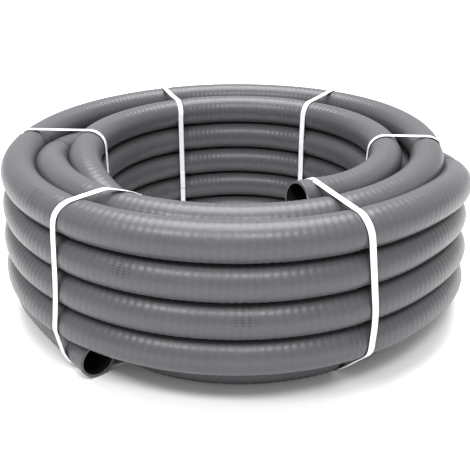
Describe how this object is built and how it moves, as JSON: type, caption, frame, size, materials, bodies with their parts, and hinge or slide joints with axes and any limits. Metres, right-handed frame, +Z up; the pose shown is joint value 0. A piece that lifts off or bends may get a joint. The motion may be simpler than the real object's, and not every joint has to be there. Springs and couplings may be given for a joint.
{
  "type": "hose roll",
  "caption": "Roll of spiral-reinforced flexible drain hose wound in layers and tied with flat plastic straps, with both cut ends open.",
  "frame": {"origin": "centre of the roll on the surface it lies on", "axes": "+Z up along the roll's axis; -Y towards the open outer end's side, +X to the right of it"},
  "size_m": [0.7211, 0.72, 0.252],
  "materials": {
    "hose": "satin flexible PVC, mid grey, with fine turns over the spiral",
    "helix": "rigid PVC spiral, moulded inside the wall",
    "strap": "white polypropylene strapping, embossed"
  },
  "bodies": {
    "root": {"hose_roll": "hose", "hose_end_inner": "hose", "hose_end_outer": "hose", "helix_end_inner": "helix", "helix_end_outer": "helix", "strap_right": "strap", "strap_back_right": "strap", "strap_back_left": "strap", "strap_left": "strap", "strap_front_left": "strap", "strap_front_right": "strap"}
  },
  "joints": []
}
